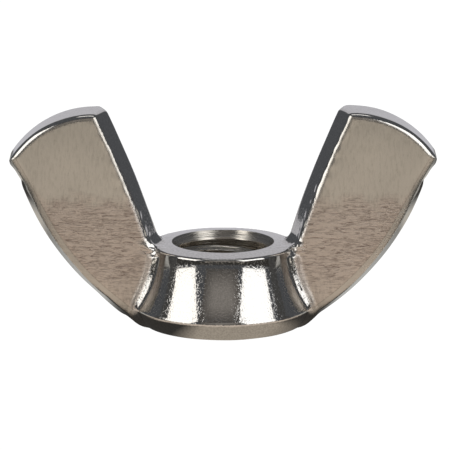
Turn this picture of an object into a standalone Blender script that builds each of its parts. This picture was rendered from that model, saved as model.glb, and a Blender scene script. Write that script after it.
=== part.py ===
"""Cold-forged wing nut, M8 x 1.25, modelled in metres.

The real nut is one piece of metal: a waisted hub with a tapped bore and two
flat wings, all forged together and then tapped. So the part is one object,
blanked as a turned hub, joined to its two wings and their root fillets, and
then bored, countersunk and threaded.

Frame: origin at the centre of the seating face, +Z up along the thread axis,
+X along the wings, +Y through their thickness.
"""

import math

import bmesh
import bpy
from mathutils import Vector

MM = 0.001

# Overall size
SPAN = 31.5 * MM
HEIGHT = 16.0 * MM

# Thread, ISO metric coarse, with a minor diameter near the top of the 6H range
THREAD_DIAMETER = 8.0 * MM
MINOR_DIAMETER = 6.88 * MM
PITCH = 1.25 * MM

# Hub: a seat, a rim above it, a waisted flank and a slightly coned crown
HUB_HEIGHT = 6.1 * MM
SEAT_RADIUS = 5.86 * MM
RIM_RADIUS = 6.6 * MM
RIM_HEIGHT = 1.35 * MM
WAIST_RADIUS = 5.82 * MM
WAIST_HEIGHT = 3.5 * MM
CROWN_RADIUS = 5.28 * MM
CROWN_DROP = 0.16 * MM
MOUTH_RADIUS = 3.78 * MM

# Wings: they thin a little from the root to the tip
ROOT_THICKNESS = 3.8 * MM
TIP_THICKNESS = 3.4 * MM
ROOT_X = 5.0 * MM
INNER_EDGE_RADIUS = 0.75 * MM
TOP_EDGE_RADIUS = 0.32 * MM
OUTER_EDGE_RADIUS = 0.35 * MM
ROOT_FILLET = 0.5 * MM

# Fineness of the faceted solid
HUB_STEPS = 72
THREAD_STEPS = 36
ARC_STEPS = 7
RIM_STEPS = 3

# Worked out from the sizes above
HALF_SPAN = SPAN / 2
MAJOR_RADIUS = THREAD_DIAMETER / 2
MINOR_RADIUS = MINOR_DIAMETER / 2
CROWN_EDGE_HEIGHT = HUB_HEIGHT - CROWN_DROP

# Clearances for the cutters and for shapes that a Boolean joins
OVERRUN = 1.5 * MM
SINK = 0.02 * MM

STEEL_COLOUR = (0.60, 0.57, 0.52, 1.0)


def clear_scene():
    for obj in list(bpy.data.objects):
        bpy.data.objects.remove(obj, do_unlink=True)


def arc_through(start, middle, end, steps=ARC_STEPS):
    """Points from start to end along the circle through all three, both ends included."""
    (ax, az), (bx, bz), (cx, cz) = start, middle, end
    d = 2 * (ax * (bz - cz) + bx * (cz - az) + cx * (az - bz))
    a2, b2, c2 = ax * ax + az * az, bx * bx + bz * bz, cx * cx + cz * cz
    ux = (a2 * (bz - cz) + b2 * (cz - az) + c2 * (az - bz)) / d
    uz = (a2 * (cx - bx) + b2 * (ax - cx) + c2 * (bx - ax)) / d
    radius = math.hypot(ax - ux, az - uz)
    first = math.atan2(az - uz, ax - ux)
    turn = math.remainder(math.atan2(cz - uz, cx - ux) - first, 2 * math.pi)
    return [
        (ux + radius * math.cos(first + turn * i / steps), uz + radius * math.sin(first + turn * i / steps))
        for i in range(steps + 1)
    ]


def mesh_object(name, bm):
    bmesh.ops.recalc_face_normals(bm, faces=bm.faces)
    mesh = bpy.data.meshes.new(name)
    bm.to_mesh(mesh)
    bm.free()
    obj = bpy.data.objects.new(name, mesh)
    bpy.context.scene.collection.objects.link(obj)
    return obj


def as_tool(obj):
    """Marks an object as a shape that a Boolean uses, so that it isn't a part itself."""
    obj.hide_render = True
    obj.display_type = "WIRE"
    return obj


def turned(name, profile, steps):
    """A solid of revolution about Z from a profile of (radius, height) points that starts and ends on the axis."""
    bm = bmesh.new()
    bottom = bm.verts.new((0, 0, profile[0][1]))
    top = bm.verts.new((0, 0, profile[-1][1]))
    rings = []
    for radius, height in profile[1:-1]:
        angles = [2 * math.pi * i / steps for i in range(steps)]
        rings.append([bm.verts.new((radius * math.cos(a), radius * math.sin(a), height)) for a in angles])
    for i in range(steps):
        j = (i + 1) % steps
        bm.faces.new((bottom, rings[0][j], rings[0][i]))
        bm.faces.new((top, rings[-1][i], rings[-1][j]))
        for low, high in zip(rings, rings[1:]):
            bm.faces.new((low[i], low[j], high[j], high[i]))
    return mesh_object(name, bm)


def hub_profile():
    """The hub's outline from the middle of the seat to the middle of the crown, as (radius, height)."""
    rim = arc_through((SEAT_RADIUS, 0), (6.4 * MM, 0.7 * MM), (RIM_RADIUS, RIM_HEIGHT), 3)
    flank = arc_through(
        (RIM_RADIUS - 0.06 * MM, RIM_HEIGHT + 0.14 * MM),
        (WAIST_RADIUS, WAIST_HEIGHT),
        (CROWN_RADIUS - 0.06 * MM, CROWN_EDGE_HEIGHT - 0.4 * MM),
    )
    crown_edge = [(CROWN_RADIUS, CROWN_EDGE_HEIGHT - 0.12 * MM), (CROWN_RADIUS - 0.1 * MM, CROWN_EDGE_HEIGHT)]
    mouth = (MOUTH_RADIUS - 0.3 * MM, HUB_HEIGHT)
    return [(0, 0), *rim, *flank, *crown_edge, mouth, (0, HUB_HEIGHT)]


def flank_radius(height):
    """The hub's outside radius at a height between the rim and the crown."""
    points = [(r, z) for r, z in hub_profile()[1:-2]]
    for (r0, z0), (r1, z1) in zip(points, points[1:]):
        if z0 <= height <= z1:
            return r0 + (r1 - r0) * (height - z0) / (z1 - z0)
    return points[0][0] if height < points[0][1] else points[-1][0]


def wing_outline():
    """The right wing seen from the front, as (x, z, edge radius) points round its outline.

    It starts inside the hub, runs up the inner edge, over the domed top, round the
    tip and its trimming step, and back down the curved outer edge to the foot.
    """
    inside_x = 3.0 * MM
    corner = (8.62 * MM, HEIGHT - 0.1 * MM)
    tip = (HALF_SPAN, 12.1 * MM)
    step = (14.94 * MM, 10.85 * MM)
    stretches = [
        (INNER_EDGE_RADIUS, arc_through((4.3 * MM, 5.8 * MM), (4.72 * MM, 6.3 * MM), (5.05 * MM, 7.1 * MM), 4)),
        (INNER_EDGE_RADIUS, arc_through((5.05 * MM, 7.1 * MM), (6.62 * MM, 11.4 * MM), (8.3 * MM, 15.3 * MM), 5)),
        (TOP_EDGE_RADIUS, arc_through((8.5 * MM, 15.7 * MM), corner, (8.95 * MM, HEIGHT), 2)),
        (TOP_EDGE_RADIUS, arc_through((9.3 * MM, HEIGHT), (13.2 * MM, 14.98 * MM), (15.62 * MM, 12.5 * MM), 9)),
        (TOP_EDGE_RADIUS, [tip, (15.62 * MM, 11.84 * MM), (15.06 * MM, 11.24 * MM)]),
        (OUTER_EDGE_RADIUS, arc_through(step, (12.89 * MM, 6.31 * MM), (8.92 * MM, 1.8 * MM), 12)),
        (OUTER_EDGE_RADIUS, [(8.16 * MM, 1.2 * MM), (7.4 * MM, 0.8 * MM), (6.2 * MM, 0.6 * MM)]),
        (0.0, [(inside_x, 0.6 * MM), (inside_x, 5.8 * MM)]),
    ]
    points = []
    for radius, stretch in stretches:
        for x, z in stretch:
            if not points or math.dist(points[-1][:2], (x, z)) > 1e-6:
                points.append((x, z, radius))
    return points


def half_thickness(x):
    """Half the wing's thickness at a distance x from the thread axis."""
    along = (x - ROOT_X) / (HALF_SPAN - ROOT_X)
    return (ROOT_THICKNESS + (TIP_THICKNESS - ROOT_THICKNESS) * along) / 2


def inward(points, i):
    """The way into the outline at one of its corners, long enough to hold both walls at one unit."""
    before, here, after = (Vector(points[j % len(points)][:2]) for j in (i - 1, i, i + 1))
    one, two = (here - before).normalized(), (after - here).normalized()
    first, second = Vector((one.y, -one.x)), Vector((two.y, -two.x))
    return (first + second) / (1 + first.dot(second))


def wing(name, side):
    """One wing as a tapered plate, lofted through its thickness so that both rims are rounded."""
    outline = wing_outline()
    quarter = [math.pi / 2 * k / RIM_STEPS for k in range(RIM_STEPS + 1)]
    levels = [(-1, angle) for angle in reversed(quarter)] + [(1, angle) for angle in quarter]
    bm = bmesh.new()
    rings = []
    for face, angle in levels:
        ring = []
        for i, (x, z, radius) in enumerate(outline):
            point = Vector((x, z)) + inward(outline, i) * radius * (1 - math.cos(angle))
            y = half_thickness(point.x) - radius * (1 - math.sin(angle))
            ring.append(bm.verts.new((side * point.x, face * y, point.y)))
        rings.append(ring)
    bm.faces.new(rings[0])
    bm.faces.new(rings[-1])
    for near, far in zip(rings, rings[1:]):
        for i in range(len(outline)):
            j = (i + 1) % len(outline)
            bm.faces.new((near[i], near[j], far[j], far[i]))
    bmesh.ops.remove_doubles(bm, verts=bm.verts, dist=1e-7)
    return as_tool(mesh_object(name, bm))


def root_fillet(name, side, front):
    """The concave fillet between the hub's flank and one face of a wing, as a loft of thin sections up the hub."""
    levels = 8
    low, high = 1.9 * MM, CROWN_EDGE_HEIGHT - 0.35 * MM
    arc_steps = 3
    sections = []
    for k in range(levels + 1):
        height = low + (high - low) * k / levels
        radius = flank_radius(height)
        plate = half_thickness(radius)
        centre = Vector((math.sqrt((radius + ROOT_FILLET) ** 2 - (plate + ROOT_FILLET) ** 2), plate + ROOT_FILLET))
        to_hub = math.atan2(-centre.y, -centre.x)
        to_plate = -math.pi / 2
        corner = Vector((math.sqrt(radius**2 - plate**2) - 3 * ROOT_FILLET / 4, plate - ROOT_FILLET))
        outline = [corner]
        for i in range(arc_steps + 1):
            angle = to_hub + (to_plate - to_hub) * i / arc_steps
            reach = ROOT_FILLET + (SINK if i in (0, arc_steps) else 0)
            outline.append(centre + reach * Vector((math.cos(angle), math.sin(angle))))
        sections.append([(side * p.x, front * p.y, height) for p in outline])
    bm = bmesh.new()
    rings = [[bm.verts.new(point) for point in section] for section in sections]
    bm.faces.new(rings[0])
    bm.faces.new(rings[-1])
    for below, above in zip(rings, rings[1:]):
        for i in range(len(below)):
            j = (i + 1) % len(below)
            bm.faces.new((below[i], below[j], above[j], above[i]))
    return as_tool(mesh_object(name, bm))


def bore_cutter():
    """The tapping-size bore with a 90 degree countersink at each end."""
    depth = MOUTH_RADIUS - MINOR_RADIUS
    profile = [
        (0, -OVERRUN),
        (MOUTH_RADIUS, -OVERRUN),
        (MOUTH_RADIUS, 0),
        (MINOR_RADIUS, depth),
        (MINOR_RADIUS, HUB_HEIGHT - depth),
        (MOUTH_RADIUS, HUB_HEIGHT),
        (MOUTH_RADIUS, HUB_HEIGHT + OVERRUN),
        (0, HUB_HEIGHT + OVERRUN),
    ]
    return as_tool(turned("bore_cutter", profile, THREAD_STEPS * 2))


def thread_cutter():
    """The groove of the right-hand thread: an ISO trapezium swept along a helix that overruns both faces."""
    reach = 0.12 * MM
    root_half = PITCH / 16
    mouth_half = root_half + (MAJOR_RADIUS - MINOR_RADIUS + reach) * math.tan(math.radians(30))
    section = [
        (MINOR_RADIUS - reach, -mouth_half),
        (MAJOR_RADIUS, -root_half),
        (MAJOR_RADIUS, root_half),
        (MINOR_RADIUS - reach, mouth_half),
    ]
    start, end = -OVERRUN / 2, HUB_HEIGHT + OVERRUN / 2
    steps = round((end - start) / PITCH * THREAD_STEPS)
    bm = bmesh.new()
    rings = []
    for i in range(steps + 1):
        angle = 2 * math.pi * i / THREAD_STEPS
        height = start + PITCH * i / THREAD_STEPS
        rings.append([bm.verts.new((r * math.cos(angle), r * math.sin(angle), height + z)) for r, z in section])
    bm.faces.new(rings[0])
    bm.faces.new(rings[-1])
    for here, there in zip(rings, rings[1:]):
        for k in range(len(section)):
            m = (k + 1) % len(section)
            bm.faces.new((here[k], here[m], there[m], there[k]))
    return as_tool(mesh_object("thread_cutter", bm))


def steel():
    material = bpy.data.materials.new("forged_stainless_steel")
    material.use_nodes = True
    shader = material.node_tree.nodes["Principled BSDF"]
    shader.inputs["Base Color"].default_value = STEEL_COLOUR
    shader.inputs["Metallic"].default_value = 1.0
    shader.inputs["Roughness"].default_value = 0.25
    return material


def combine(obj, other, operation):
    modifier = obj.modifiers.new(f"{operation.lower()}_{other.name}", "BOOLEAN")
    modifier.operation = operation
    modifier.solver = "EXACT"
    modifier.object = other


def main():
    clear_scene()
    nut = turned("wing_nut", hub_profile(), HUB_STEPS)
    nut.data.materials.append(steel())
    for side, side_name in ((-1, "left"), (1, "right")):
        combine(nut, wing(f"{side_name}_wing_blank", side), "UNION")
        for front, face_name in ((-1, "front"), (1, "back")):
            fillet = root_fillet(f"{side_name}_{face_name}_fillet", side, front)
            combine(nut, fillet, "UNION")
    combine(nut, bore_cutter(), "DIFFERENCE")
    combine(nut, thread_cutter(), "DIFFERENCE")


main()
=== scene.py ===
"""The looks of the wing nut: one forged, tumbled and polished piece of stainless steel.

The shape is written as distance fields in millimetres: a turned hub, two flat wings
with rounded rims, and the chamfered roots that join them. The fields are meshed on a
grid, and each point is then moved onto the exact surface. A threaded plug cuts the bore.

Axes as in the CAD model: +X along the wings, +Y through their thickness, +Z up the bore,
from the middle of the seating face.
"""

import functools
import math

import bmesh
import bpy
import numpy as np
from mathutils import Matrix, Vector


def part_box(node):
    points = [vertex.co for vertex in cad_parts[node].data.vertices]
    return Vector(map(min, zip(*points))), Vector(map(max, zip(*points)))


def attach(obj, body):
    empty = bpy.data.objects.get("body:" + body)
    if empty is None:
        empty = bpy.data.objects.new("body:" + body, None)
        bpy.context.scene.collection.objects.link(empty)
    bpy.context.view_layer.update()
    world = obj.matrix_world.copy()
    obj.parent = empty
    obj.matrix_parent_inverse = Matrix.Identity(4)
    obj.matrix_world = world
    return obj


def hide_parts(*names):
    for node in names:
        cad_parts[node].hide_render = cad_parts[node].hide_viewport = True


MM = 0.001

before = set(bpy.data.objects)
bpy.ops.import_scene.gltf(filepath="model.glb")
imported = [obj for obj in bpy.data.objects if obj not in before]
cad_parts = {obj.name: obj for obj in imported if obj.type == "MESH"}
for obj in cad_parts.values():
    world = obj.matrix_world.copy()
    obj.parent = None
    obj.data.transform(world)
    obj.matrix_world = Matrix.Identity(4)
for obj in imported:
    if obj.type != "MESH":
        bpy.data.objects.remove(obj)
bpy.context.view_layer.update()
CAD_LOW, CAD_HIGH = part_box("wing_nut")

# ---------------------------------------------------------------- sizes, in millimetres

HALF_SPAN = CAD_HIGH.x / MM
HEIGHT = CAD_HIGH.z / MM

# The thread and its two countersinks. ROOT_FLAT is the width of the thread's root, in pitches.
PITCH = 1.25
MAJOR_RADIUS = 4.0
MINOR_RADIUS = 3.44
THREAD_HALF_ANGLE = 30.0
ROOT_CLEARANCE = 0.05
ROOT_FLAT = 1 / 8
CREST_ROUNDING = 0.12
MOUTH_RADIUS = 3.78
MOUTH_DEPTH = 0.62
SEAT_COUNTERSINK = 0.16

# The turned hub, as (radius, height): hollow flank, full rim, slightly raised crown.
HUB_HEIGHT = 6.1
CROWN_EDGE = (5.28, 5.94)
FLANK_POINTS = ((6.64, 1.46), (5.74, 3.5), (5.27, 5.9))
RIM_POINTS = ((5.86, 0.0), (6.42, 0.7), (6.70, 1.46))
SEAT_EDGE_RADIUS = 0.15
RIM_EDGE_RADIUS = 0.12
CROWN_EDGE_RADIUS = 0.16

# A wing's outline, as (distance from the bore's axis, height), and how round its rims are.
ROOT_THICKNESS = 3.8
TIP_THICKNESS = 3.4
ROOT_OFFSET = 5.0
INNER_EDGE_POINTS = ((5.05, 7.1), (6.62, 11.4), (8.3, 15.3))
DOME_POINTS = ((8.9, HEIGHT - 0.005), (13.2, 14.98), (15.68, 12.56))
OUTER_EDGE_POINTS = ((15.00, 10.80), (12.89, 6.31), (8.92, 1.80))
TIP_STEP_POINTS = ((14.84, 10.83), (15.80, 11.95))
TIP_STEP_FILLET = 0.2
TIP_SHAVING = 0.03
TIP_CORNER_RADIUS = 0.15
DOME_CORNER_RADIUS = 0.12
TOP_CORNER_RADIUS = 0.25
ROOT_BLOCK = (6.0, 5.9)
ROOT_FILLET = 0.85
FOOT_HEIGHT = 0.45
CUT_RADIUS = 0.1
INNER_RIM = 0.38
DOME_RIM = 0.45
OUTER_RIM = 0.16
RIM_BLEND = 0.2

# What the die and the trimming press left: sloping edges, a bevel, a nick, and a few differences
# between the two wings.
DRAFT = 0.30
PARTING = 0.45
PARTING_ROUNDING = 0.12
BEVEL_WIDTH = 0.46
BEVEL_ANGLE = 12.0
BEVEL_EDGE_RADIUS = 0.08
TIP_NICK = (14.72, 10.7)
NICK_DEPTH = 0.1
NICK_SIZE = 0.3
LEFT_FLASH = 0.16
FLASH_HEIGHTS = (2.2, 0.7)
RIGHT_LEAN = 0.015
LEAN_PIVOT = 11
RIGHT_TRIM = 0.05

# The joint between hub and wings.
ROOT_CHAMFER = 0.64
CHAMFER_TOP = 5.9
CHAMFER_FADE = 0.5
JOINT_FILLET = 0.12

# Unevenness: how high its waves are, how long, and over what width and range they fade out.
SWELL, SWELL_LENGTH = 0.008, 4.0
KNOT, KNOT_LENGTH, KNOT_SINK = 0.09, 0.7, 0.85
KNOT_PLACE, KNOT_SIZE, KNOT_DEPTH = (5.3, 6.1), 0.65, 0.55
KNOT_Y = 1.8
WEAR, WEAR_LENGTH = 0.018, 1.0
WEAR_INSET, WEAR_BAND = 0.6, 0.5
WEAR_HEIGHTS, WEAR_DEPTHS = (6.5, 7.5), (1.1, 1.6)
SEAM, SEAM_LENGTH = 0.0012, 0.4
SEAM_BAND, SEAM_REACH = 0.35, 0.6
SEAM_STRETCH = (1, 1, 0.08)

# The satin finish: how squarely a surface has to face front or back, and how far it stays off the hub.
SATIN_FACING = (0.9, 0.99)
SATIN_FROM_HUB = (0.3, 0.4)
BRIGHT_ROOT, BRIGHT_ROOT_SIZE = (5.35, 6.3), 0.5

# The mesh: its grid's cell, the room round the object, and the sharpest angle that is shaded smooth.
CELL = 0.14
GRID_MARGIN = 2.3 * CELL
SMOOTH_ANGLE = 32

# The camera: a long lens, aimed at a point given in millimetres. The distance and the width of what
# it frames are in metres.
CAMERA_ELEVATION = 12.9
CAMERA_DISTANCE = 0.315
CAMERA_TARGET = (0.15, 0, 7.32)
SENSOR_WIDTH = 36
FRAME_WIDTH = 0.0332


# ---------------------------------------------------------------- distance fields

def circle_through(points):
    (ax, ay), (bx, by), (cx, cy) = points
    d = 2 * (ax * (by - cy) + bx * (cy - ay) + cx * (ay - by))
    a2, b2, c2 = ax * ax + ay * ay, bx * bx + by * by, cx * cx + cy * cy
    x = (a2 * (by - cy) + b2 * (cy - ay) + c2 * (ay - by)) / d
    y = (a2 * (cx - bx) + b2 * (ax - cx) + c2 * (bx - ax)) / d
    return x, y, math.hypot(ax - x, ay - y)


def disc(u, v, circle):
    x, y, radius = circle
    return np.hypot(u - x, v - y) - radius


def beside(u, v, start, end):
    """The distance to the right of a line, looking from start to end."""
    (x0, y0), (x1, y1) = start, end
    length = math.hypot(x1 - x0, y1 - y0)
    return ((u - x0) * (y1 - y0) - (v - y0) * (x1 - x0)) / length


def both(a, b, radius):
    """Where two fields overlap, with the outside corner between them rounded."""
    a2, b2 = np.maximum(a + radius, 0), np.maximum(b + radius, 0)
    return np.minimum(np.maximum(a, b) + radius, 0) + np.hypot(a2, b2) - radius


def either(a, b, radius):
    """Two fields joined, with the inside corner between them filled."""
    return -both(-a, -b, radius)


def ramp(value, zero_at, one_at):
    return np.clip((value - zero_at) / (one_at - zero_at), 0, 1)


def near(u, v, place, size):
    """1 at a place, falling to 0 over a few times the size."""
    return np.exp(-((u - place[0]) ** 2 + (v - place[1]) ** 2) / size**2)


FLANK = circle_through(FLANK_POINTS)
RIM = circle_through(RIM_POINTS)
INNER_EDGE = circle_through(INNER_EDGE_POINTS)
DOME = circle_through(DOME_POINTS)
OUTER_EDGE = circle_through(OUTER_EDGE_POINTS)


def hub(p):
    """The turned body. Above its widest height the rim's field runs straight up, and the flank bounds it."""
    r, z = np.hypot(p[..., 0], p[..., 1]), p[..., 2]
    flank = -disc(r, z, FLANK)
    rim = disc(r, np.minimum(z, RIM[1]), RIM)
    crown = beside(r, z, CROWN_EDGE, (MOUTH_RADIUS, HUB_HEIGHT))
    side = both(flank, rim, RIM_EDGE_RADIUS)
    return both(both(side, crown, CROWN_EDGE_RADIUS), -z, SEAT_EDGE_RADIUS)


def draft(y):
    """How far an edge has sloped back from the die's parting line."""
    return DRAFT * (np.hypot(y - PARTING, PARTING_ROUNDING) - PARTING_ROUNDING)


def lower_edge(p):
    """The distance past a wing's outer edge, with the trimmed step and nick under its tip."""
    x, y, z = p[..., 0], p[..., 1], p[..., 2]
    u = np.abs(x)
    edge = either(disc(u, z, OUTER_EDGE), beside(u, z, *TIP_STEP_POINTS), TIP_STEP_FILLET)
    nick = NICK_DEPTH * near(u, z, TIP_NICK, NICK_SIZE)
    trim = RIGHT_TRIM * ramp(x, 0, 1)
    flash = LEFT_FLASH * ramp(z, *FLASH_HEIGHTS) * ramp(x, 0, -1)
    return edge + nick + trim - flash + draft(y)


def wing(p):
    """Both wings, joined through the hub. The rim's roundness is that of the nearest edge."""
    x, y, z = p[..., 0], p[..., 1], p[..., 2]
    u, right = np.abs(x), ramp(x, 0, 1)
    inner = disc(u, z, INNER_EDGE) + draft(y) - RIGHT_LEAN * right * (z - LEAN_PIVOT)
    dome = disc(u, np.maximum(z, DOME[1]), DOME) + RIGHT_TRIM * (1 - 2 * right)
    dome = both(dome, u - (HALF_SPAN - TIP_SHAVING), TIP_CORNER_RADIUS)
    lower = lower_edge(p)
    blade = both(inner, both(dome, lower, DOME_CORNER_RADIUS), TOP_CORNER_RADIUS)
    block = both(z - ROOT_BLOCK[1], u - ROOT_BLOCK[0], CUT_RADIUS)
    outline = either(blade, both(block, lower, CUT_RADIUS), ROOT_FILLET)
    outline = both(outline, FOOT_HEIGHT - z, CUT_RADIUS)
    weights = [np.exp(np.clip(field, -4, 1) / RIM_BLEND) for field in (inner, dome, lower)]
    rims = (INNER_RIM, DOME_RIM, OUTER_RIM)
    rim = sum(w * r for w, r in zip(weights, rims)) / sum(weights)
    along = (u - ROOT_OFFSET) / (HALF_SPAN - ROOT_OFFSET)
    half = (ROOT_THICKNESS + (TIP_THICKNESS - ROOT_THICKNESS) * along) / 2
    face = np.abs(y) - half
    angle = math.radians(BEVEL_ANGLE)
    bevel = face * math.cos(angle) + (lower + BEVEL_WIDTH) * math.sin(angle)
    return both(both(outline, face, rim), bevel, BEVEL_EDGE_RADIUS)


def body(p):
    """Hub and wings with a chamfer where they meet, which ends at the crown and at the seat."""
    a, b, z = hub(p), wing(p), p[..., 2]
    below_crown = np.clip((CHAMFER_TOP - z) / CHAMFER_FADE, -0.5, 1)
    chamfer = (a + b - ROOT_CHAMFER * below_crown) * math.sqrt(0.5)
    joined = either(either(a, chamfer, JOINT_FILLET), b, JOINT_FILLET)
    return np.maximum(joined, -z)


# ---------------------------------------------------------------- meshing

def gradient(field, p, step=1e-3):
    columns = []
    for axis in range(3):
        offset = np.zeros(3)
        offset[axis] = step
        columns.append((field(p + offset) - field(p - offset)) / (2 * step))
    return np.stack(columns, axis=-1)


def onto_surface(field, p, rounds):
    for _ in range(rounds):
        g = gradient(field, p)
        p = p - g * (field(p) / np.maximum((g * g).sum(-1), 1e-9))[:, None]
    return p


def surface_net(field, low, high, cell):
    """Quads round a field's zero surface: one point in each grid cell that the surface crosses."""
    counts = np.ceil((high - low) / cell).astype(int) + 1
    axes = [low[i] + cell * np.arange(counts[i]) for i in range(3)]
    slabs = [np.stack(np.meshgrid(x, *axes[1:], indexing="ij"), axis=-1) for x in axes[0]]
    values = np.concatenate([field(slab) for slab in slabs])
    corners = [(i, j, k) for i in (0, 1) for j in (0, 1) for k in (0, 1)]
    cells = tuple(n - 1 for n in counts)

    def at(corner):
        return values[tuple(slice(c, c + n) for c, n in zip(corner, cells))]

    held = sum((at(c) < 0).astype(int) for c in corners)
    mixed = (held > 0) & (held < 8)
    index = np.full(cells, -1)
    index[mixed] = np.arange(mixed.sum())
    total, count = np.zeros((mixed.sum(), 3)), np.zeros(mixed.sum())
    for c in corners:
        for axis in range(3):
            if c[axis]:
                continue
            d = tuple(v + (i == axis) for i, v in enumerate(c))
            start, end = at(c)[mixed], at(d)[mixed]
            crosses = (start < 0) != (end < 0)
            share = np.where(crosses, start / np.where(crosses, start - end, 1), 0)
            point = np.tile(np.array(c, float), (len(share), 1))
            point[:, axis] += share
            total[crosses] += point[crosses]
            count[crosses] += 1
    places = np.argwhere(mixed)
    points = low + cell * (places + total / count[:, None])
    quads = []
    for axis in range(3):
        one, two = (axis + 1) % 3, (axis + 2) % 3
        inner = [slice(1, n - 1) for n in counts]
        inner[axis] = slice(0, counts[axis] - 1)
        ahead = list(inner)
        ahead[axis] = slice(1, counts[axis])
        start, end = values[tuple(inner)] < 0, values[tuple(ahead)] < 0
        for leaves in (True, False):
            found = np.argwhere(start & ~end if leaves else ~start & end)
            for other in (one, two):
                found[:, other] += 1
            ring = []
            for a, b in ((1, 1), (0, 1), (0, 0), (1, 0)):
                place = found.copy()
                place[:, one] -= a
                place[:, two] -= b
                ring.append(index[tuple(place.T)])
            quads.append(np.stack(ring if leaves else ring[::-1], axis=-1))
    return points, np.concatenate(quads)


def relax(points, quads, field, rounds=4):
    """Evens out the quads: each point moves halfway to its neighbours' middle, along the surface."""
    edges = np.concatenate([quads[:, [i, (i + 1) % 4]] for i in range(4)])
    for _ in range(rounds):
        total, count = np.zeros_like(points), np.zeros(len(points))
        np.add.at(total, edges[:, 0], points[edges[:, 1]])
        np.add.at(count, edges[:, 0], 1)
        move = total / count[:, None] - points
        g = gradient(field, points)
        g /= np.linalg.norm(g, axis=-1, keepdims=True)
        points = points + 0.5 * (move - g * (move * g).sum(-1, keepdims=True))
        points = onto_surface(field, points, 1)
    return points


def mesh_object(name, points, faces):
    mesh = bpy.data.meshes.new(name)
    mesh.from_pydata([tuple(p) for p in points], [], [tuple(int(i) for i in f) for f in faces])
    mesh.update()
    obj = bpy.data.objects.new(name, mesh)
    bpy.context.scene.collection.objects.link(obj)
    return obj


def waves(p, length, seed, count=9):
    """A smooth random field between about -1 and 1, made of waves about as long as length."""
    rng = np.random.default_rng(seed)
    ways = rng.normal(size=(count, 3))
    ways /= np.linalg.norm(ways, axis=-1, keepdims=True)
    ways *= (2 * math.pi / length) * rng.uniform(0.6, 1.5, (count, 1))
    starts = rng.uniform(0, 2 * math.pi, count)
    total = np.zeros(p.shape[:-1])
    for way, start in zip(ways, starts):
        total += np.sin(p @ way + start)
    return total / math.sqrt(count)


def detailed_body(p):
    """The body with what the forging die, the trimming and the tumbling left on it."""
    x, y, z = p[..., 0], p[..., 1], p[..., 2]
    field = body(p) + SWELL * waves(p, SWELL_LENGTH, 1)

    # A knot of folded metal at each corner of each wing's root.
    for side, face, seed in ((-1, -1, 2), (1, -1, 3), (-1, 1, 4), (1, 1, 5)):
        place = near(x, z, (KNOT_PLACE[0] * side, KNOT_PLACE[1]), KNOT_SIZE)
        place = place * near(y, 0, (KNOT_Y * face, 0), KNOT_DEPTH)
        field = field + KNOT * place * (waves(p, KNOT_LENGTH, seed) - KNOT_SINK)

    # Wear along the corners of the wings' inner edges, above the roots.
    worn = np.exp(-(((disc(np.abs(x), z, INNER_EDGE) + WEAR_INSET) / WEAR_BAND) ** 2))
    worn = worn * ramp(z, *WEAR_HEIGHTS) * ramp(np.abs(y), *WEAR_DEPTHS)
    field = field + WEAR * worn * waves(p, WEAR_LENGTH, 7)

    # Faint upright marks along the seam between hub and wings.
    a, b = hub(p), wing(p)
    seam = np.exp(-(((a - b) / SEAM_BAND) ** 2)) * ramp(a + b, -SEAM_REACH, 0)
    return field + SEAM * seam * waves(p * np.array(SEAM_STRETCH), SEAM_LENGTH, 6)


def forged_body():
    low = np.array(CAD_LOW) / MM - GRID_MARGIN
    high = np.array(CAD_HIGH) / MM + GRID_MARGIN
    points, quads = surface_net(body, low, high, CELL)
    points = onto_surface(body, points, 3)
    points = relax(points, quads, body)
    points = onto_surface(detailed_body, points, 2)
    return mesh_object("forged_wing_nut", points, quads)


def plug_radius(z, phase):
    """The plug's radius at a height. The phase is that point's place in the thread's turn, in pitches."""
    from_root = np.abs((phase + 0.5) % 1 - 0.5)
    slope = PITCH / math.tan(math.radians(THREAD_HALF_ANGLE))
    flank = MAJOR_RADIUS - ROOT_CLEARANCE - np.maximum(from_root - ROOT_FLAT / 2, 0) * slope
    thread = -both(-flank, np.full_like(flank, -MINOR_RADIUS), CREST_ROUNDING)
    top = MOUTH_RADIUS - (HUB_HEIGHT - z) * (MOUTH_RADIUS - MINOR_RADIUS) / MOUTH_DEPTH
    bottom = MOUTH_RADIUS + SEAT_COUNTERSINK - z
    return np.maximum(thread, np.maximum(top, bottom))


def threaded_plug(turn_steps=144, pitch_steps=32, overrun=0.6):
    """The shape of the bore: a right-hand thread and two countersinks, run past the hub's faces."""
    low, high = -overrun, HUB_HEIGHT + overrun
    first, last = math.floor(low / PITCH) - 1, math.ceil(high / PITCH)
    lines = np.arange(first * pitch_steps, last * pitch_steps + 1)
    points, rows = [], []
    for i in range(turn_steps):
        angle = 2 * math.pi * i / turn_steps
        z = np.clip(PITCH * (lines / pitch_steps + i / turn_steps), low, high)
        r = plug_radius(z, lines / pitch_steps)
        rows.append(len(points) + np.arange(len(lines)))
        points += [(k * math.cos(angle), k * math.sin(angle), h) for k, h in zip(r, z)]
    faces = []
    for i in range(turn_steps):
        here, there = rows[i], rows[(i + 1) % turn_steps]
        if i == turn_steps - 1:
            there = there[pitch_steps:]  # the last column meets the first one a pitch higher
        for j in range(min(len(here), len(there)) - 1):
            corners = (here[j], there[j], there[j + 1], here[j + 1])
            heights = [points[c][2] for c in corners]
            if max(heights) > low and min(heights) < high:
                faces.append(corners)
    plug = mesh_object("threaded_plug", points, faces)
    bm = bmesh.new()
    bm.from_mesh(plug.data)
    bmesh.ops.remove_doubles(bm, verts=bm.verts, dist=1e-5)
    bmesh.ops.delete(bm, geom=[v for v in bm.verts if not v.link_faces], context="VERTS")
    bmesh.ops.holes_fill(bm, edges=[e for e in bm.edges if e.is_boundary])
    bmesh.ops.recalc_face_normals(bm, faces=bm.faces)
    bm.to_mesh(plug.data)
    bm.free()
    return plug


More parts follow.
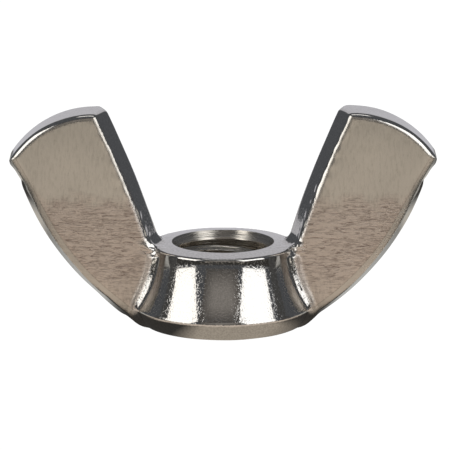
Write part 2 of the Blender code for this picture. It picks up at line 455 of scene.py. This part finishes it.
def subtract(obj, cutter):
    modifier = obj.modifiers.new("bore", "BOOLEAN")
    modifier.operation = "DIFFERENCE"
    modifier.solver = "MANIFOLD"
    modifier.object = cutter
    cut = bpy.data.meshes.new_from_object(obj.evaluated_get(bpy.context.evaluated_depsgraph_get()))
    obj.modifiers.clear()
    obj.data = cut
    bpy.data.objects.remove(cutter)


def smooth_normals(obj, field):
    """Takes the outside's normals from the field itself, so that a mirror finish shows no facets."""
    mesh = obj.data
    mesh.polygons.foreach_set("use_smooth", np.ones(len(mesh.polygons), bool))
    mesh.set_sharp_from_angle(angle=math.radians(SMOOTH_ANGLE))
    outside = np.zeros(len(mesh.loops), bool)
    for polygon in mesh.polygons:
        outside[list(polygon.loop_indices)] = polygon.material_index == 0
    points = np.array([v.co for v in mesh.vertices])
    exact = gradient(field, points)
    exact /= np.linalg.norm(exact, axis=-1, keepdims=True)
    normals = np.array([c.vector for c in mesh.corner_normals])
    corners = np.array([loop.vertex_index for loop in mesh.loops])
    normals[outside] = exact[corners[outside]]
    mesh.normals_split_custom_set(normals.tolist())


def satin_share(p):
    """1 on the flats of the wings, 0 on their rounded rims, on the root knots and on the hub."""
    g = gradient(wing, p)
    facing = ramp(np.abs(g[..., 1]), *SATIN_FACING)
    clear = ramp(hub(p), *SATIN_FROM_HUB)
    knot = near(np.abs(p[..., 0]), p[..., 2], BRIGHT_ROOT, BRIGHT_ROOT_SIZE)
    return facing * clear * (1 - knot)


def build_nut():
    nut = forged_body()
    plug = threaded_plug()
    nut.data.materials.append(forged_steel())
    nut.data.materials.append(cut_steel())
    for material in nut.data.materials:
        plug.data.materials.append(material)
    for polygon in plug.data.polygons:
        polygon.material_index = 1
    subtract(nut, plug)
    smooth_normals(nut, detailed_body)
    points = np.array([v.co for v in nut.data.vertices])
    for name, values in (("satin", satin_share(points)), ("edge", lower_edge(points))):
        nut.data.attributes.new(name, "FLOAT", "POINT").data.foreach_set("value", values)
    nut.data.transform(Matrix.Scale(MM, 4))
    return nut


# ---------------------------------------------------------------- materials

class Nodes:
    """A short way to write a material's nodes."""

    def __init__(self, name):
        self.material = bpy.data.materials.new(name)
        self.material.use_nodes = True
        self.tree = self.material.node_tree
        self.shader = self.tree.nodes["Principled BSDF"]
        self.coords = self.add("TexCoord").outputs["Object"]

    def add(self, kind, **settings):
        node = self.tree.nodes.new("ShaderNode" + kind)
        for key, value in settings.items():
            setattr(node, key, value)
        return node

    def feed(self, socket, value):
        if isinstance(value, bpy.types.NodeSocket):
            self.tree.links.new(value, socket)
        else:
            socket.default_value = value

    def stretched(self, scale):
        """Object coordinates with one unit per 1 / scale millimetres, given for X, Y and Z."""
        node = self.add("Mapping")
        self.feed(node.inputs["Vector"], self.coords)
        self.feed(node.inputs["Scale"], [k / MM for k in scale])
        return node.outputs["Vector"]

    def noise(self, scale, detail=3.0, roughness=0.5, distortion=0.0):
        node = self.add("TexNoise")
        self.feed(node.inputs["Vector"], self.stretched(scale))
        self.feed(node.inputs["Scale"], 1.0)
        self.feed(node.inputs["Detail"], detail)
        self.feed(node.inputs["Roughness"], roughness)
        self.feed(node.inputs["Distortion"], distortion)
        return node.outputs["Fac"]

    def math(self, operation, *values):
        node = self.add("Math", operation=operation)
        for socket, value in zip(node.inputs, values):
            self.feed(socket, value)
        return node.outputs[0]

    def spread(self, value, low, high, to_low=0.0, to_high=1.0):
        """Goes from to_low to to_high as the value goes from low to high, and stays there beyond."""
        node = self.add("MapRange")
        names = ("Value", "From Min", "From Max", "To Min", "To Max")
        for name, given in zip(names, (value, low, high, to_low, to_high)):
            self.feed(node.inputs[name], given)
        return node.outputs["Result"]

    def product(self, *values):
        return functools.reduce(lambda a, b: self.math("MULTIPLY", a, b), values)

    def largest(self, *values):
        return functools.reduce(lambda a, b: self.math("MAXIMUM", a, b), values)

    def blend(self, share, a, b):
        node = self.add("Mix", data_type="RGBA")
        self.feed(node.inputs["Factor"], share)
        self.feed(node.inputs[6], a)
        self.feed(node.inputs[7], b)
        return node.outputs[2]

    def mix(self, share, a, b):
        node = self.add("Mix", data_type="FLOAT")
        for socket, value in zip((node.inputs[0], node.inputs[2], node.inputs[3]), (share, a, b)):
            self.feed(socket, value)
        return node.outputs[0]

    def bump(self, height, distance_mm, under=None):
        node = self.add("Bump")
        self.feed(node.inputs["Height"], height)
        self.feed(node.inputs["Distance"], distance_mm * MM)
        self.feed(node.inputs["Strength"], 1.0)
        if under is not None:
            self.feed(node.inputs["Normal"], under)
        return node.outputs["Normal"]

    def attribute(self, name):
        return self.add("Attribute", attribute_name=name).outputs["Fac"]

    def position(self):
        """X, Y and Z in millimetres."""
        split = self.add("SeparateXYZ")
        self.feed(split.inputs[0], self.stretched((1, 1, 1)))
        return split.outputs


# Colours of the metal, by its finish. The streaked colours also hold a painted reflection of the warm table.
BRUSHED_LIGHT, BRUSHED_DARK = (0.61, 0.57, 0.51, 1), (0.53, 0.495, 0.44, 1)
STREAKED_TABLE_REFLECTION_LIGHT, STREAKED_TABLE_REFLECTION_DARK = (0.635, 0.56, 0.495, 1), (0.29, 0.24, 0.21, 1)
POLISHED_LIGHT, POLISHED_DARK = (0.68, 0.655, 0.62, 1), (0.55, 0.53, 0.50, 1)
# The crease colour is painted shade.
BEVEL_TONE, PAINTED_CREASE_SHADE = (0.58, 0.545, 0.485, 1), (0.27, 0.23, 0.19, 1)
CUT_LIGHT, CUT_DARK = (0.70, 0.66, 0.60, 1), (0.50, 0.46, 0.40, 1)

# Heights and depths in millimetres.
STREAKS_TOP, STREAKS_FULL = 10.2, 8.9
CREASE_WIDTH = 0.06
PIT_DEPTH = 0.0034
STREAK_DEPTH = 0.035
RING_DEPTH = 0.022


def forged_steel():
    """Bright on the hub and rims, and satin on the flats of the wings."""
    n = Nodes("forged_stainless_steel")
    satin, edge = n.attribute("satin"), n.attribute("edge")
    height = n.position()["Z"]
    grain = n.noise((7, 7, 7), detail=2, roughness=0.6)

    # The flats are brushed upright at the top and streaked level below, with a ragged border between.
    # Below, the colour is also browner and darker: a painted reflection of the warm table.
    upright = n.noise((5, 5, 1.3), detail=5, roughness=0.7)
    level = n.noise((1.3, 1.3, 9), detail=5, roughness=0.75, distortion=0.9)
    ragged = n.math("ADD", height, n.spread(n.noise((1, 1, 1)), 0.3, 0.7, -0.5, 0.5))
    lower_streaks_and_reflection = n.product(n.spread(ragged, STREAKS_TOP, STREAKS_FULL), n.spread(ragged, 1.5, 4.5, 0.4, 1))
    streaks = n.mix(lower_streaks_and_reflection, upright, level)
    light = n.blend(lower_streaks_and_reflection, BRUSHED_LIGHT, STREAKED_TABLE_REFLECTION_LIGHT)
    dark = n.blend(lower_streaks_and_reflection, BRUSHED_DARK, STREAKED_TABLE_REFLECTION_DARK)
    flat = n.blend(n.spread(streaks, 0.38, 0.53), dark, light)

    # The bevel is plain, with painted shade darkening the crease along its inner border.
    on_bevel = n.spread(edge, -BEVEL_WIDTH - 0.04, -BEVEL_WIDTH + 0.04)
    from_crease = n.math("ABSOLUTE", n.math("ADD", edge, BEVEL_WIDTH))
    crease = n.product(n.spread(from_crease, CREASE_WIDTH, 0.0), n.spread(grain, 0.4, 0.6, 0.2, 0.7))
    flat = n.blend(crease, n.blend(on_bevel, flat, BEVEL_TONE), PAINTED_CREASE_SHADE)

    polished = n.blend(n.spread(grain, 0.38, 0.6), POLISHED_DARK, POLISHED_LIGHT)
    n.feed(n.shader.inputs["Base Color"], n.blend(satin, polished, flat))
    n.feed(n.shader.inputs["Metallic"], 1.0)
    bright = n.spread(grain, 0.45, 0.65, 0.03, 0.12)
    dull = n.spread(streaks, 0.3, 0.7, 0.27, 0.34)
    n.feed(n.shader.inputs["Roughness"], n.mix(satin, bright, dull))

    # Fine pits, which fade out under the crown, and the relief of the streaks.
    pitted = n.mix(n.spread(height, 5.5, 4.7), 0.1, 1.0)
    pits = n.bump(n.product(n.spread(grain, 0.52, 0.70), pitted), PIT_DEPTH)
    relief = n.product(streaks, satin, n.mix(lower_streaks_and_reflection, 0.35, 1.0))
    n.feed(n.shader.inputs["Normal"], n.bump(relief, STREAK_DEPTH, under=pits))
    return n.material


def cut_steel():
    """The tapped bore: rings left by the tap, a little darker from cutting oil."""
    n = Nodes("tapped_stainless_steel")
    rings = n.noise((0.3, 0.3, 9), detail=3)
    n.feed(n.shader.inputs["Base Color"], n.blend(rings, CUT_DARK, CUT_LIGHT))
    n.feed(n.shader.inputs["Metallic"], 1.0)
    n.feed(n.shader.inputs["Roughness"], n.spread(rings, 0.3, 0.7, 0.16, 0.32))
    n.feed(n.shader.inputs["Normal"], n.bump(rings, RING_DEPTH))
    return n.material


# ---------------------------------------------------------------- the studio

# The dim light that comes from everywhere, and the colours of the patches on the table.
SURROUND = 0.1
UNLIT = (0.05, 0.048, 0.045, 1)
# The paper beside the hub is darker: the nut's shadow, painted on the table.
SHADOW_BESIDE_THE_HUB = (0.46, 0.41, 0.35, 1)
IN_FRONT = (0.74, 0.645, 0.565, 1)
FURTHER_FRONT = (0.73, 0.68, 0.605, 1)
BEHIND = (0.62, 0.62, 0.60, 1)
FURTHER_BEHIND = (0.44, 0.44, 0.42, 1)
OUTER_PATCH = (0.52, 0.49, 0.44, 1)
SIDE_PATCH = (1.2, 1.15, 1.05, 1)
HORIZON = (0.58, 0.58, 0.62, 1)


def on_sphere(azimuth, elevation, distance):
    """A place seen from the nut. Azimuth 0 is towards the camera and 90 towards +X."""
    a, e = math.radians(azimuth), math.radians(elevation)
    return Vector((math.sin(a) * math.cos(e), -math.cos(a) * math.cos(e), math.sin(e))) * distance


def glowing(n, colour, strength):
    """Makes a material emit only. The colour and the strength may be outputs of its own nodes."""
    glow = n.add("Emission")
    n.feed(glow.inputs["Color"], colour)
    n.feed(glow.inputs["Strength"], strength)
    n.feed(n.tree.nodes["Material Output"].inputs["Surface"], glow.outputs[0])
    return n.material


def table_material():
    """What the metal sees below it: a sheet of warm paper with lit patches that fade out over their borders.

    Lengths are in millimetres from the bore's axis, and y grows away from the camera.
    """
    n = Nodes("table_top")
    x, y = n.position()["X"], n.position()["Y"]
    off = n.math("ABSOLUTE", x)
    radial = n.math("POWER", n.math("ADD", n.product(x, x), n.product(y, y)), 0.5)

    # In front: a fan that widens towards the camera, cut away round the hub except at the nut's foot; the
    # cut-away paints the nut's shadow on the table.
    reach = n.spread(y, -10, -65, 20, 52)
    across = n.spread(n.math("SUBTRACT", off, reach), 2, -1)
    foot = n.spread(n.math("ABSOLUTE", n.math("SUBTRACT", x, 1.6)), 5.6, 3.6)
    under = n.product(n.spread(off, 10.5, 12.5), n.spread(y, 6, 3))
    within = n.product(n.largest(n.spread(y, -1.5, -5.5), under), n.spread(y, -115, -90))
    ahead = n.product(within, across, n.largest(n.spread(radial, 8.0, 9.6), foot))

    # Two slanting patches, which light the chamfers at the wings' roots.
    slant = n.math("DIVIDE", off, n.math("MAXIMUM", n.product(y, -1.0), 0.1))
    lit = n.product(n.spread(slant, 1.5, 1.7), n.spread(slant, 2.7, 2.3))
    lit = n.product(lit, n.spread(off, 24, 34), n.spread(off, 58, 50))

    # Behind: patches for the wings' outer edges, and the far table for their domed ends.
    behind = n.product(n.spread(y, 1, 4), n.spread(y, 26, 8, 0.0, 0.8), n.spread(off, 6.5, 9.5))
    aside = n.product(n.spread(y, 50, 60), n.spread(y, 95, 75), n.spread(off, 10, 18))
    beyond = n.product(n.spread(y, 15, 19), n.spread(y, 82, 72), n.spread(off, 24, 21))
    beyond = n.product(beyond, n.largest(n.spread(off, 10.5, 12.5), n.spread(y, 36, 30)))
    distant = n.product(n.spread(y, 96, 118), n.spread(off, 12, 20))

    # Darker paper beside the hub paints the nut's shadow.
    paper = n.blend(n.spread(radial, 8.4, 10), SHADOW_BESIDE_THE_HUB, IN_FRONT)
    paper = n.blend(n.spread(y, -26, -44), paper, FURTHER_FRONT)
    paper = n.blend(n.spread(y, 0, 1), paper, BEHIND)
    paper = n.blend(n.spread(y, 40, 50), paper, FURTHER_BEHIND)
    for patch, colour in ((beyond, OUTER_PATCH), (lit, SIDE_PATCH), (distant, HORIZON)):
        paper = n.blend(patch, paper, colour)
    share = n.largest(ahead, lit, behind, beyond, aside, distant)
    return glowing(n, n.blend(share, UNLIT, paper), 1.0)


def softbox_material(name, width, height, colour, radiance, fade):
    """Brightest in the middle of the cloth, and fading to the surroundings over its borders."""
    n = Nodes(name)
    shares = []
    for axis, size in (("X", width), ("Y", height)):
        from_middle = n.math("ABSOLUTE", n.position()[axis])
        shares.append(n.spread(from_middle, size / 2 / MM, (size / 2 - fade) / MM))
    return glowing(n, (*colour, 1), n.spread(n.product(*shares), 0, 1, SURROUND, radiance))


def softbox(name, azimuths, elevations, colour, radiance, distance=0.4, fade=0.02):
    """A soft light that faces the nut and fills a range of azimuths and elevations, in degrees."""
    middle = on_sphere(sum(azimuths) / 2, sum(elevations) / 2, distance)
    width, height = (2 * distance * math.tan(math.radians(b - a) / 2) for a, b in (azimuths, elevations))
    corners = [(i * width / 2, j * height / 2, 0) for i, j in ((-1, -1), (1, -1), (1, 1), (-1, 1))]
    obj = mesh_object(name, corners, [(0, 1, 2, 3)])
    obj.data.materials.append(softbox_material(name, width, height, colour, radiance, fade))
    obj.location = middle
    obj.rotation_mode = "QUATERNION"
    obj.rotation_quaternion = (-middle).to_track_quat("Z", "Y")
    obj.visible_camera = False


def flag(side, material, azimuth=60, distance=17, near_end=1.932, far_end=5.98, low=0.1, high=9):
    """A small dark card that keeps the side light off the wing's root, where the hub mirrors it."""
    away = on_sphere(azimuth * side, 0, distance)
    across = Vector((-away.y * side, away.x * side, 0)).normalized()
    start, end = away + across * near_end, away + across * far_end
    corners = [(p.x, p.y, z) for p, z in ((start, low), (end, low), (end, high), (start, high))]
    obj = mesh_object(f"flag_{side + 1}", [[k * MM for k in c] for c in corners], [(0, 1, 2, 3)])
    obj.data.materials.append(material)
    obj.visible_camera = False


def round_stage(name, bm, height, material):
    """Puts a round piece of the studio in place, from its mesh."""
    mesh = bpy.data.meshes.new(name)
    bm.to_mesh(mesh)
    bm.free()
    mesh.materials.append(material)
    obj = bpy.data.objects.new(name, mesh)
    obj.location.z = height
    bpy.context.scene.collection.objects.link(obj)
    return obj


def disc_stage(name, radius, height, material):
    bm = bmesh.new()
    bmesh.ops.create_circle(bm, cap_ends=True, segments=96, radius=radius)
    return round_stage(name, bm, height, material)


def backdrop(radius, height, material):
    """A pale round wall behind the floor, for low views."""
    bm = bmesh.new()
    bmesh.ops.create_cone(bm, segments=96, radius1=radius, radius2=radius, depth=height)
    return round_stage("backdrop", bm, height / 2 - 0.01, material)


def studio():
    pale = glowing(Nodes("pale_surround"), (1.0, 1.0, 1.0, 1), 1.05)
    floor = disc_stage("floor", radius=1.1, height=-0.00002, material=pale)
    wall = backdrop(radius=1.1, height=1.5, material=pale)
    for seen_directly in (floor, wall):
        seen_directly.visible_glossy = False
    table = disc_stage("table_seen_in_the_metal", radius=0.6, height=-0.00004, material=table_material())
    table.visible_camera = False
    softbox("left_box", (-79, -41), (1.5, 45), colour=(1.0, 0.99, 0.97), radiance=1.9, fade=0.008)
    softbox("right_box", (29, 70), (1.5, 45), colour=(0.98, 0.99, 1.0), radiance=1.9, fade=0.008)
    black = glowing(Nodes("black_card"), (1.0, 1.0, 1.0, 1), 0.08)
    for side in (-1, 1):
        flag(side, black)
    softbox("overhead_box", (-17, 17), (84, 96), colour=(1.0, 1.0, 1.0), radiance=1.9)
    far = {"distance": 0.7}
    softbox("back_box", (156, 204), (-8, 44), colour=(0.95, 0.95, 1.02), radiance=0.62, fade=0.07, **far)
    softbox("front_glow", (-27, 24), (3, 46), colour=(1.0, 0.94, 0.89), radiance=0.29, fade=0.2, **far)
    world = bpy.data.worlds.new("studio")
    world.use_nodes = True
    world.node_tree.nodes["Background"].inputs["Color"].default_value = (0.098, 0.104, 0.115, 1)
    bpy.context.scene.world = world


def camera():
    """A long lens a little above the nut, turned to its middle."""
    scene = bpy.context.scene
    data = bpy.data.cameras.new("camera")
    obj = bpy.data.objects.new("camera", data)
    scene.collection.objects.link(obj)
    target = Vector(CAMERA_TARGET) * MM
    obj.location = target + on_sphere(0, CAMERA_ELEVATION, CAMERA_DISTANCE)
    obj.rotation_mode = "QUATERNION"
    obj.rotation_quaternion = (obj.location - target).to_track_quat("Z", "Y")
    data.sensor_width = SENSOR_WIDTH
    data.lens = SENSOR_WIDTH * CAMERA_DISTANCE / FRAME_WIDTH
    data.clip_start, data.clip_end = 0.01, 30
    scene.camera = obj
    scene.view_settings.view_transform = "Standard"


nut = build_nut()
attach(nut, "root")
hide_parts("wing_nut")
studio()
camera()
